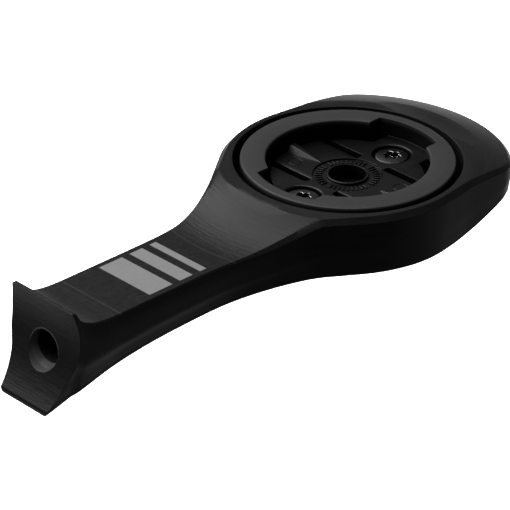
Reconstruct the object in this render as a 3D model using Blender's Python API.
"""Out-front mount that carries a bicycle computer ahead of the handlebar.

A machined aluminium arm holds a moulded quarter-turn insert in a round pocket, fastened by two
six-lobe screws. The insert's floor has two flexing detent fingers. The arm's rear end is a saddle
that seats against the handlebar clamp.

Every shape is drawn in millimetres around the socket axis, with the insert's top face at height 0,
+X towards the front tip, +Y to the left and +Z up. One empty then carries the whole object, so that
the world origin is the mouth of the bolt hole in the saddle face.
"""

import math

import bmesh
import bpy
from mathutils import Matrix, Vector

MM = 0.001
TURN = 2.0 * math.pi

# Round shapes
ROUND_STEPS = 96
SMALL_ROUND_STEPS = 40
CLEARANCE = 0.3
WELD = 1e-4

# Arm outline seen from above: distance along X and half-width of the top edge. The front is one arc.
SIDE_POINTS = [
    (-74.0, 6.6),
    (-40.0, 6.6),
    (-34.0, 6.75),
    (-30.0, 7.2),
    (-26.0, 8.05),
    (-22.0, 9.3),
    (-18.0, 11.1),
    (-14.0, 13.9),
    (-11.0, 16.0),
    (-8.0, 17.55),
    (-4.0, 18.8),
    (0.0, 19.2),
    (4.0, 18.85),
    (8.0, 18.35),
    (14.0, 17.95),
    (17.0, 17.6),
    (19.0, 16.85),
]
SIDE_STEP = 1.5
FRONT_ARC_CENTRE_X = 4.78
FRONT_ARC_RADIUS = 22.25
FRONT_ARC_START = math.radians(46.0)
FRONT_ARC_STEPS = 14

# Arm section: the sloped band along the top edge, the gentle bulge of the side and the draft below it
BAND_POINTS = [(-74.0, 0.26), (-34.0, 0.26), (-20.0, 0.8), (6.0, 0.85), (20.0, 0.6), (27.0, 0.55)]
BULGE_POINTS = [(-74.0, 0.85), (-64.0, 0.8), (-54.0, 0.45), (-34.0, 0.35), (-20.0, 0.0), (30.0, 0.0)]
DRAFT_POINTS = [(-74.0, 16.0), (-64.0, 16.2), (-54.0, 17.0), (-40.0, 17.0), (-16.0, 8.0), (30.0, 6.0)]
BULGE_SHARE = 0.3
DRAFT_SHARE = 0.42
BOTTOM_CHAMFER = 0.5
CUT_ALLOWANCE = 1.0

# Pocket in the head
POCKET_RADIUS = 18.25
POCKET_FLOOR = -5.25

# Arm heights
ARM_TOP = -3.7
UNDERSIDE_POINTS = [
    (-74.0, -17.9),
    (-67.8, -16.6),
    (-62.0, -15.0),
    (-58.0, -13.8),
    (-54.0, -12.95),
    (-48.0, -12.2),
    (-38.0, -11.6),
    (-24.0, -10.9),
    (-12.0, -10.4),
    (0.0, -10.15),
    (5.0, -10.0),
    (8.0, -9.7),
    (11.0, -9.05),
    (17.0, -7.3),
    (20.0, -6.7),
    (24.0, -6.35),
    (28.0, -6.2),
]
RIM_TOP = -0.1
COVE_START = 20.8
COVE_END = 32.5
COVE_STEPS = 14
BRIM_START = POCKET_RADIUS
BRIM_SLOPE = 0.13
BRIM_CURVE = 0.0085
BRIM_END = 30.0
BRIM_STEPS = 10
TOP_CUT_RADIUS = 41.0
TOP_CUT_HEIGHT = 4.0
SECTOR_OVERLAP = math.radians(2.0)

# Rear lip and saddle
LIP_CURVE = [(-54.3, ARM_TOP), (-57.0, -3.58), (-59.3, -3.2), (-61.2, -2.4), (-62.3, -1.4), (-62.8, -0.3)]
BAR_RADIUS = 15.9
BAR_X = -78.8
BAR_Z = -4.5
TIP_X = -67.65
BOLT_HOLE_Z = -8.8
BOLT_HOLE_RADIUS = 2.65
BOLT_HOLE_DEPTH = 14.0
COUNTERSINK_RADIUS = 3.2
COUNTERSINK_DEPTH = 1.2
COUNTERSINK_REACH = 2.5
SADDLE_FACE_X = BAR_X + math.sqrt(BAR_RADIUS**2 - (BOLT_HOLE_Z - BAR_Z) ** 2)

# Insert ring
RING_RADIUS = 17.1
RING_EDGE = 0.35
OPENING_RADIUS = 13.03
FLANGE_THICKNESS = 1.35
TRACK_RADIUS = 15.3
NOTCH_HALF_WIDTH = 6.2
INSERT_BOTTOM = POCKET_FLOOR + CLEARANCE

# Insert floor
FLOOR_TOP = -3.05
FLOOR_THICKNESS = 1.0
FLOOR_RADIUS = 12.3
PAD_HALF_WIDTH = 5.2
HUB_RADIUS = 5.45
HUB_HOLE_RADIUS = 3.02
HUB_LIP_RADIUS = 3.4
HUB_LIP_HEIGHT = 0.3
SLOT_OUTER_X = 6.6
SLOT_INNER_Y = 2.8

# Detent fingers
FINGER_HALF_WIDTH = 5.3
FINGER_ROOT_Y = SLOT_INNER_Y + CLEARANCE
FINGER_ROOT_RADIUS = HUB_RADIUS + CLEARANCE
FINGER_TIP_RADIUS = 12.4
FINGER_PIVOT_Z = FLOOR_TOP - FLOOR_THICKNESS / 2
RIB_START_Y = 5.9
RIB_END_Y = 12.25
RIB_START_HALF_WIDTH = 0.4
RIB_END_HALF_WIDTH = 1.25
RIB_START_HEIGHT = 0.12
RIB_END_HEIGHT = 0.9
RIB_TOP_SHARE = 0.6

# Insert screws
SCREW_X = 10.2
SCREW_HEAD_RADIUS = 2.75
SCREW_HEAD_TOP = -3.2
SCREW_HEAD_HEIGHT = 1.0
SCREW_HEAD_EDGE = 0.25
SCREW_SHANK_RADIUS = 1.4
SCREW_TIP_Z = -6.9
SCREW_BORE_RADIUS = SCREW_SHANK_RADIUS + CLEARANCE
SCREW_BORE_BOTTOM = SCREW_TIP_Z - CLEARANCE
COUNTERBORE_RADIUS = 3.15
COUNTERBORE_FLOOR = SCREW_HEAD_TOP - SCREW_HEAD_HEIGHT - CLEARANCE
LOBE_RADIUS = 1.25
LOBE_DEPTH = 0.8
LOBE_SWING = 0.16
LOBE_COUNT = 6


def clear_scene():
    """Remove every object, so that the script can be run again from the text editor."""
    for item in list(bpy.data.objects):
        bpy.data.objects.remove(item, do_unlink=True)


def make_material(name, colour, roughness, metallic):
    """Return a Principled material with one plain colour."""
    material = bpy.data.materials.new(name)
    material.use_nodes = True
    shader = material.node_tree.nodes["Principled BSDF"]
    shader.inputs["Base Color"].default_value = (*colour, 1.0)
    shader.inputs["Roughness"].default_value = roughness
    shader.inputs["Metallic"].default_value = metallic
    return material


def smooth_value(points, x):
    """Read a smooth curve through (x, value) points, flat beyond both ends."""
    if x <= points[0][0]:
        return points[0][1]
    if x >= points[-1][0]:
        return points[-1][1]
    last = len(points) - 2
    index = max(i for i in range(last + 1) if points[i][0] <= x)
    (x1, y1), (x2, y2) = points[index], points[index + 1]
    x0, y0 = points[max(index - 1, 0)]
    x3, y3 = points[min(index + 2, last + 1)]
    span = x2 - x1
    slope1 = (y2 - y0) / (x2 - x0)
    slope2 = (y3 - y1) / (x3 - x1)
    t = (x - x1) / span
    rise = y1 * (2 * t**3 - 3 * t**2 + 1) + y2 * (3 * t**2 - 2 * t**3)
    return rise + span * (slope1 * (t**3 - 2 * t**2 + t) + slope2 * (t**3 - t**2))


def arc_points(radius, start, end, steps, centre=(0.0, 0.0)):
    """List the points of an arc, both ends included."""
    angles = [start + (end - start) * i / steps for i in range(steps + 1)]
    return [(centre[0] + radius * math.cos(a), centre[1] + radius * math.sin(a)) for a in angles]


def prism(outline, low, high):
    """Extrude a closed (x, y) outline between two heights."""
    bm = bmesh.new()
    base = bm.faces.new([bm.verts.new((x, y, low)) for x, y in outline])
    grown = bmesh.ops.extrude_face_region(bm, geom=[base])
    top = [item for item in grown["geom"] if isinstance(item, bmesh.types.BMVert)]
    bmesh.ops.translate(bm, verts=top, vec=(0.0, 0.0, high - low))
    bmesh.ops.recalc_face_normals(bm, faces=bm.faces)
    return bm


def turned(profile, steps=ROUND_STEPS, start=0.0, angle=TURN):
    """Turn a closed (radius, height) profile about the Z axis."""
    bm = bmesh.new()
    ring = [bm.verts.new((r * math.cos(start), r * math.sin(start), z)) for r, z in profile]
    edges = [bm.edges.new((ring[i - 1], ring[i])) for i in range(len(ring))]
    whole = angle == TURN
    sweep = {"axis": (0, 0, 1), "cent": (0, 0, 0), "angle": angle, "steps": steps, "use_merge": whole}
    swept = bmesh.ops.spin(bm, geom=ring + edges, **sweep)
    if not whole:
        bm.faces.new(ring)
        bm.faces.new([item for item in swept["geom_last"] if isinstance(item, bmesh.types.BMVert)])
    bmesh.ops.remove_doubles(bm, verts=bm.verts, dist=WELD)
    bmesh.ops.dissolve_degenerate(bm, edges=bm.edges, dist=WELD)
    bmesh.ops.recalc_face_normals(bm, faces=bm.faces)
    return bm


def cylinder(radius, low, high, centre=(0.0, 0.0), steps=SMALL_ROUND_STEPS):
    """Make an upright cylinder."""
    return prism(arc_points(radius, 0.0, TURN, steps, centre)[:-1], low, high)


def box(low, high):
    """Make a box between two corners."""
    corners = [(low[0], low[1]), (high[0], low[1]), (high[0], high[1]), (low[0], high[1])]
    return prism(corners, low[2], high[2])


def add_object(name, bm, parent, material=None, offset=(0.0, 0.0, 0.0)):
    """Turn a millimetre bmesh into an object under a parent, with its own origin at the offset."""
    bmesh.ops.translate(bm, verts=bm.verts, vec=-Vector(offset))
    bmesh.ops.scale(bm, verts=bm.verts, vec=(MM, MM, MM))
    mesh = bpy.data.meshes.new(name)
    bm.to_mesh(mesh)
    bm.free()
    mesh.shade_smooth()
    mesh.set_sharp_from_angle(angle=math.radians(30.0))
    item = bpy.data.objects.new(name, mesh)
    bpy.context.scene.collection.objects.link(item)
    item.parent = parent
    if material:
        mesh.materials.append(material)
    else:
        item.hide_render = True
        item.display_type = "WIRE"
    return item


def boolean(item, name, bm, parent, operation="DIFFERENCE"):
    """Add a boolean modifier that uses a hidden tool solid."""
    tool = add_object(f"tool_{name}", bm, parent)
    modifier = item.modifiers.new(name, "BOOLEAN")
    modifier.operation = operation
    modifier.solver = "EXACT"
    modifier.object = tool


def outline_points():
    """List (x, half-width, outward normal) from the rear of the arm to the front tip, on the left side."""
    count = round((SIDE_POINTS[-1][0] - SIDE_POINTS[0][0]) / SIDE_STEP)
    start, end = SIDE_POINTS[0][0], SIDE_POINTS[-1][0]
    places = [start + (end - start) * i / count for i in range(count + 1)]
    points = [Vector((x, smooth_value(SIDE_POINTS, x))) for x in places]
    front = arc_points(FRONT_ARC_RADIUS, FRONT_ARC_START, 0.0, FRONT_ARC_STEPS, (FRONT_ARC_CENTRE_X, 0.0))
    points += [Vector(point) for point in front]
    rows = []
    for i, point in enumerate(points):
        before = points[max(i - 1, 0)]
        after = points[min(i + 1, len(points) - 1)]
        along = (after - before).normalized()
        normal = Vector((-along.y, along.x))
        if i == len(points) - 1:
            normal = Vector((1.0, 0.0))
        rows.append((point, normal))
    return rows


def cove_height(radius):
    """Height of the concave blend from the arm up to the rim: an arc that ends level with the arm."""
    rise = RIM_TOP - ARM_TOP
    run = COVE_END - COVE_START
    cove_radius = (run**2 + rise**2) / (2 * rise)
    reach = min(max(COVE_END - radius, 0.0), run)
    return ARM_TOP + cove_radius - math.sqrt(cove_radius**2 - reach**2)


def brim_height(radius):
    """Height of the front brim, which droops gently and then faster."""
    reach = max(radius - BRIM_START, 0.0)
    return RIM_TOP - BRIM_SLOPE * reach - BRIM_CURVE * reach**2


def top_height(x, y):
    """Height of the arm's top surface at a place on its outline."""
    radius = math.hypot(x, y)
    if x < LIP_CURVE[0][0]:
        return smooth_value(list(reversed(LIP_CURVE)), x)
    return cove_height(radius) if x < 0.0 else brim_height(radius)


def section(point, normal):
    """List the arm's section at one outline point, from above the top edge down to the underside."""
    x, half = point
    band = smooth_value(BAND_POINTS, x)
    bulge = smooth_value(BULGE_POINTS, x)
    draft = math.tan(math.radians(smooth_value(DRAFT_POINTS, x)))
    top = top_height(x, half)
    shoulder = top - band
    bottom = smooth_value(UNDERSIDE_POINTS, x)
    depth = shoulder - bottom
    foot = bottom + BOTTOM_CHAMFER
    draft_start = shoulder - depth * DRAFT_SHARE
    inset = (draft_start - foot) * draft
    levels = [
        (-CUT_ALLOWANCE, top + CUT_ALLOWANCE),
        (band, shoulder),
        (band + bulge, shoulder - depth * BULGE_SHARE),
        (band + bulge, draft_start),
        (band + bulge - inset, foot),
        (band + bulge - inset - BOTTOM_CHAMFER, bottom),
    ]
    rows = []
    for outward, height in levels:
        place = point + normal * outward
        rows.append(Vector((place.x, max(place.y, 0.0), height)))
    return rows


def arm_blank():
    """Loft the arm's outside, before its top surfaces, pocket and saddle are cut."""
    bm = bmesh.new()
    sections = [section(point, normal) for point, normal in outline_points()]
    left, right = [], []
    for rows in sections:
        on_axis = rows[0].y < 1e-6 and rows[1].y < 1e-6
        left.append([bm.verts.new(row) for row in rows])
        right.append(left[-1] if on_axis else [bm.verts.new((row.x, -row.y, row.z)) for row in rows])
    last = len(sections[0]) - 1
    for i in range(len(sections) - 1):
        for side in (left, right):
            for j in range(last):
                bm.faces.new((side[i][j], side[i][j + 1], side[i + 1][j + 1], side[i + 1][j]))
        for j in (0, last):
            ring = [left[i][j], left[i + 1][j], right[i + 1][j], right[i][j]]
            bm.faces.new(list(dict.fromkeys(ring)))
    bm.faces.new(left[0] + list(reversed(right[0])))
    bmesh.ops.recalc_face_normals(bm, faces=bm.faces)
    return bm


def rear_top_tool():
    """Solid above the flat rim, the concave blend and the start of the arm."""
    radii = [COVE_START + (COVE_END - COVE_START) * i / COVE_STEPS for i in range(COVE_STEPS + 1)]
    profile = [(0.0, TOP_CUT_HEIGHT), (0.0, RIM_TOP)]
    profile += [(radius, cove_height(radius)) for radius in radii]
    profile += [(TOP_CUT_RADIUS, ARM_TOP), (TOP_CUT_RADIUS, TOP_CUT_HEIGHT)]
    return turned(profile, ROUND_STEPS // 2, math.pi / 2, math.pi)


def front_top_tool():
    """Solid above the flat rim and the drooping front brim."""
    radii = [BRIM_START + (BRIM_END - BRIM_START) * i / BRIM_STEPS for i in range(BRIM_STEPS + 1)]
    profile = [(0.0, TOP_CUT_HEIGHT), (0.0, RIM_TOP)]
    profile += [(radius, brim_height(radius)) for radius in radii]
    profile += [(BRIM_END, TOP_CUT_HEIGHT)]
    start = -math.pi / 2 - SECTOR_OVERLAP
    return turned(profile, ROUND_STEPS // 2, start, math.pi + 2 * SECTOR_OVERLAP)


def sideways(outline, half_width):
    """Extrude a closed (x, z) outline across the arm."""
    bm = prism([(x, z) for x, z in outline], -half_width, half_width)
    bmesh.ops.rotate(bm, verts=bm.verts, cent=(0, 0, 0), matrix=Matrix.Rotation(math.pi / 2, 3, "X"))
    return bm


def lip_tool():
    """Solid above the flat of the arm and the upswept lip."""
    start, end = LIP_CURVE[-1][0], LIP_CURVE[0][0]
    curve = list(reversed(LIP_CURVE))
    places = [start + (end - start) * i / 16 for i in range(17)]
    outline = [(BAR_X, TOP_CUT_HEIGHT), (BAR_X, LIP_CURVE[-1][1])]
    outline += [(x, smooth_value(curve, x)) for x in places]
    outline += [(-TOP_CUT_RADIUS + 1.0, ARM_TOP), (-TOP_CUT_RADIUS + 1.0, TOP_CUT_HEIGHT)]
    return sideways(outline, FRONT_ARC_RADIUS)


def saddle_tool():
    """Handlebar-sized cylinder across the rear end."""
    outline = arc_points(BAR_RADIUS, 0.0, TURN, ROUND_STEPS, (BAR_X, BAR_Z))[:-1]
    return sideways(outline, FRONT_ARC_RADIUS)


def tip_tool():
    """Block behind the small flat on the saddle's lower tip."""
    return box((BAR_X, -FRONT_ARC_RADIUS, BAR_Z - BAR_RADIUS), (TIP_X, FRONT_ARC_RADIUS, BAR_Z))


def bolt_hole_tool():
    """Countersunk blind bolt hole that runs forward from the saddle face."""
    start, end = SADDLE_FACE_X - COUNTERSINK_REACH, SADDLE_FACE_X + BOLT_HOLE_DEPTH
    profile = [
        (0.0, start),
        (COUNTERSINK_RADIUS, start),
        (COUNTERSINK_RADIUS, SADDLE_FACE_X),
        (BOLT_HOLE_RADIUS, SADDLE_FACE_X + COUNTERSINK_DEPTH),
        (BOLT_HOLE_RADIUS, end),
        (0.0, end + BOLT_HOLE_RADIUS / 2),
    ]
    bm = turned(profile, SMALL_ROUND_STEPS)
    bmesh.ops.rotate(bm, verts=bm.verts, cent=(0, 0, 0), matrix=Matrix.Rotation(math.pi / 2, 3, "Y"))
    bmesh.ops.translate(bm, verts=bm.verts, vec=(0.0, 0.0, BOLT_HOLE_Z))
    return bm


def build_arm(parent, material):
    """Machined arm with its pocket, saddle and tapped holes."""
    arm = add_object("mount_arm", arm_blank(), parent, material)
    boolean(arm, "rear_top", rear_top_tool(), parent)
    boolean(arm, "front_top", front_top_tool(), parent)
    boolean(arm, "lip", lip_tool(), parent)
    boolean(arm, "saddle", saddle_tool(), parent)
    boolean(arm, "tip", tip_tool(), parent)
    boolean(arm, "bolt_hole", bolt_hole_tool(), parent)
    pocket = cylinder(POCKET_RADIUS, POCKET_FLOOR, TOP_CUT_HEIGHT, steps=ROUND_STEPS)
    boolean(arm, "pocket", pocket, parent)
    for label, side in (("front", 1), ("rear", -1)):
        bore = cylinder(SCREW_BORE_RADIUS, SCREW_BORE_BOTTOM, 0.0, (side * SCREW_X, 0.0))
        boolean(arm, f"tapped_{label}", bore, parent)


def ring_section():
    """Closed (radius, height) section of the insert's outer ring and its flange."""
    return [
        (OPENING_RADIUS, -FLANGE_THICKNESS),
        (OPENING_RADIUS, -RING_EDGE),
        (OPENING_RADIUS + RING_EDGE, 0.0),
        (RING_RADIUS - RING_EDGE, 0.0),
        (RING_RADIUS, -RING_EDGE),
        (RING_RADIUS, INSERT_BOTTOM),
        (TRACK_RADIUS, INSERT_BOTTOM),
        (TRACK_RADIUS, -FLANGE_THICKNESS),
    ]


def bar_outline(half_width, radius, steps=12):
    """Straight-sided bar along X whose two ends are arcs about the socket axis."""
    swing = math.asin(half_width / radius)
    front = arc_points(radius, -swing, swing, steps)
    rear = arc_points(radius, math.pi - swing, math.pi + swing, steps)
    return front + rear


def build_insert(parent, material):
    """Moulded socket: ring, slotted floor, hub and screw pads."""
    insert = add_object("quarter_turn_insert", turned(ring_section()), parent, material)
    bridge_radius = (TRACK_RADIUS + RING_RADIUS) / 2
    floor_bottom = FLOOR_TOP - FLOOR_THICKNESS
    floor = cylinder(FLOOR_RADIUS, floor_bottom, FLOOR_TOP, steps=ROUND_STEPS)
    pads = prism(bar_outline(PAD_HALF_WIDTH, bridge_radius), INSERT_BOTTOM, FLOOR_TOP - CLEARANCE / 10)
    boolean(insert, "pads", pads, parent, "UNION")
    boolean(insert, "floor", floor, parent, "UNION")
    for label, side in (("left", 1), ("right", -1)):
        inner, outer = sorted((side * SLOT_INNER_Y, side * (FLOOR_RADIUS + 1.0)))
        low = (-SLOT_OUTER_X, inner, INSERT_BOTTOM - 1.0)
        gap = box(low, (SLOT_OUTER_X, outer, -FLANGE_THICKNESS))
        boolean(insert, f"finger_gap_{label}", gap, parent)
    hub = cylinder(HUB_RADIUS, INSERT_BOTTOM + 0.05, FLOOR_TOP - 0.02, steps=ROUND_STEPS)
    boolean(insert, "hub", hub, parent, "UNION")
    lip = cylinder(HUB_LIP_RADIUS, FLOOR_TOP - 0.5, FLOOR_TOP + HUB_LIP_HEIGHT)
    boolean(insert, "hub_lip", lip, parent, "UNION")
    boolean(insert, "hub_hole", cylinder(HUB_HOLE_RADIUS, INSERT_BOTTOM - 1.0, 1.0), parent)
    notches = prism(bar_outline(NOTCH_HALF_WIDTH, TRACK_RADIUS - 0.02), -FLANGE_THICKNESS - 0.1, 1.0)
    boolean(insert, "notches", notches, parent)
    for label, side in (("front", 1), ("rear", -1)):
        place = (side * SCREW_X, 0.0)
        counterbore = cylinder(COUNTERBORE_RADIUS, COUNTERBORE_FLOOR, 0.0, place)
        boolean(insert, f"counterbore_{label}", counterbore, parent)
        bore = cylinder(SCREW_BORE_RADIUS, INSERT_BOTTOM - 1.0, 0.0, place)
        boolean(insert, f"screw_bore_{label}", bore, parent)


def finger_outline():
    """Left finger seen from above: an arc root beside the hub and an arc tip at the floor's edge."""
    root_swing = math.acos(math.sqrt(FINGER_ROOT_RADIUS**2 - FINGER_ROOT_Y**2) / FINGER_ROOT_RADIUS)
    tip_swing = math.acos(FINGER_HALF_WIDTH / FINGER_TIP_RADIUS)
    root = arc_points(FINGER_ROOT_RADIUS, math.pi - root_swing, root_swing, 20)
    tip = arc_points(FINGER_TIP_RADIUS, tip_swing, math.pi - tip_swing, 20)
    corners = [(FINGER_HALF_WIDTH, FINGER_ROOT_Y)], [(-FINGER_HALF_WIDTH, FINGER_ROOT_Y)]
    return root + corners[0] + tip + corners[1]


def rib(base):
    """Detent rib on the left finger, wider and taller towards the tip."""
    bm = bmesh.new()
    rows = []
    ends = [
        (RIB_START_Y, RIB_START_HALF_WIDTH, RIB_START_HEIGHT),
        (RIB_END_Y, RIB_END_HALF_WIDTH, RIB_END_HEIGHT),
    ]
    for y, half, height in ends:
        foot, crest = base - FLOOR_THICKNESS / 2, base + height
        shape = [(-half, foot), (half, foot), (half * RIB_TOP_SHARE, crest), (-half * RIB_TOP_SHARE, crest)]
        rows.append([bm.verts.new((x, y, z)) for x, z in shape])
    for i in range(4):
        bm.faces.new((rows[0][i - 1], rows[0][i], rows[1][i], rows[1][i - 1]))
    bm.faces.new(rows[0])
    bm.faces.new(rows[1])
    bmesh.ops.recalc_face_normals(bm, faces=bm.faces)
    return bm


def build_finger(name, side, parent, material):
    """One flexing tongue of the insert's floor, hung on an empty at its root."""
    pivot_place = (0.0, side * FINGER_ROOT_Y, FINGER_PIVOT_Z)
    pivot = bpy.data.objects.new(f"{name}_pivot", None)
    bpy.context.scene.collection.objects.link(pivot)
    pivot.parent = parent
    pivot.location = Vector(pivot_place) * MM
    turn = Matrix.Rotation(0.0 if side > 0 else math.pi, 3, "Z")
    shapes = [prism(finger_outline(), FLOOR_TOP - FLOOR_THICKNESS, FLOOR_TOP), rib(FLOOR_TOP)]
    for shape in shapes:
        bmesh.ops.rotate(shape, verts=shape.verts, cent=(0, 0, 0), matrix=turn)
    finger = add_object(name, shapes[0], pivot, material, pivot_place)
    boolean(finger, f"{name}_rib", shapes[1], parent, "UNION")


def lobed_outline(centre):
    """Six-lobe socket outline."""
    steps = SMALL_ROUND_STEPS + 8
    points = []
    for i in range(steps):
        angle = TURN * i / steps
        radius = LOBE_RADIUS + LOBE_SWING * math.cos(LOBE_COUNT * angle)
        points.append((centre[0] + radius * math.cos(angle), centre[1] + radius * math.sin(angle)))
    return points


def build_screw(name, x, parent, material):
    """Low-headed six-lobe screw, standing on its own axis."""
    head_bottom = SCREW_HEAD_TOP - SCREW_HEAD_HEIGHT
    profile = [
        (0.0, SCREW_HEAD_TOP),
        (SCREW_HEAD_RADIUS - SCREW_HEAD_EDGE, SCREW_HEAD_TOP),
        (SCREW_HEAD_RADIUS, SCREW_HEAD_TOP - SCREW_HEAD_EDGE),
        (SCREW_HEAD_RADIUS, head_bottom),
        (SCREW_SHANK_RADIUS, head_bottom),
        (SCREW_SHANK_RADIUS, SCREW_TIP_Z + SCREW_HEAD_EDGE),
        (SCREW_SHANK_RADIUS - SCREW_HEAD_EDGE, SCREW_TIP_Z),
        (0.0, SCREW_TIP_Z),
    ]
    screw = add_object(name, turned(profile, SMALL_ROUND_STEPS), parent, material)
    screw.location = (x * MM, 0.0, 0.0)
    socket = prism(lobed_outline((x, 0.0)), SCREW_HEAD_TOP - LOBE_DEPTH, 0.0)
    boolean(screw, f"{name}_socket", socket, parent)


def main():
    """Build the whole mount."""
    clear_scene()
    aluminium = make_material("black_anodised_aluminium", (0.022, 0.022, 0.024), 0.38, 1.0)
    plastic = make_material("black_moulded_plastic", (0.02, 0.02, 0.021), 0.45, 0.0)
    steel = make_material("black_oxide_steel", (0.035, 0.035, 0.037), 0.35, 1.0)

    frame = bpy.data.objects.new("mount_frame", None)
    bpy.context.scene.collection.objects.link(frame)
    frame.location = Vector((-SADDLE_FACE_X, 0.0, -BOLT_HOLE_Z)) * MM

    build_arm(frame, aluminium)
    build_insert(frame, plastic)
    build_finger("detent_finger_left", 1, frame, plastic)
    build_finger("detent_finger_right", -1, frame, plastic)
    build_screw("insert_screw_front", SCREW_X, frame, steel)
    build_screw("insert_screw_rear", -SCREW_X, frame, steel)


main()
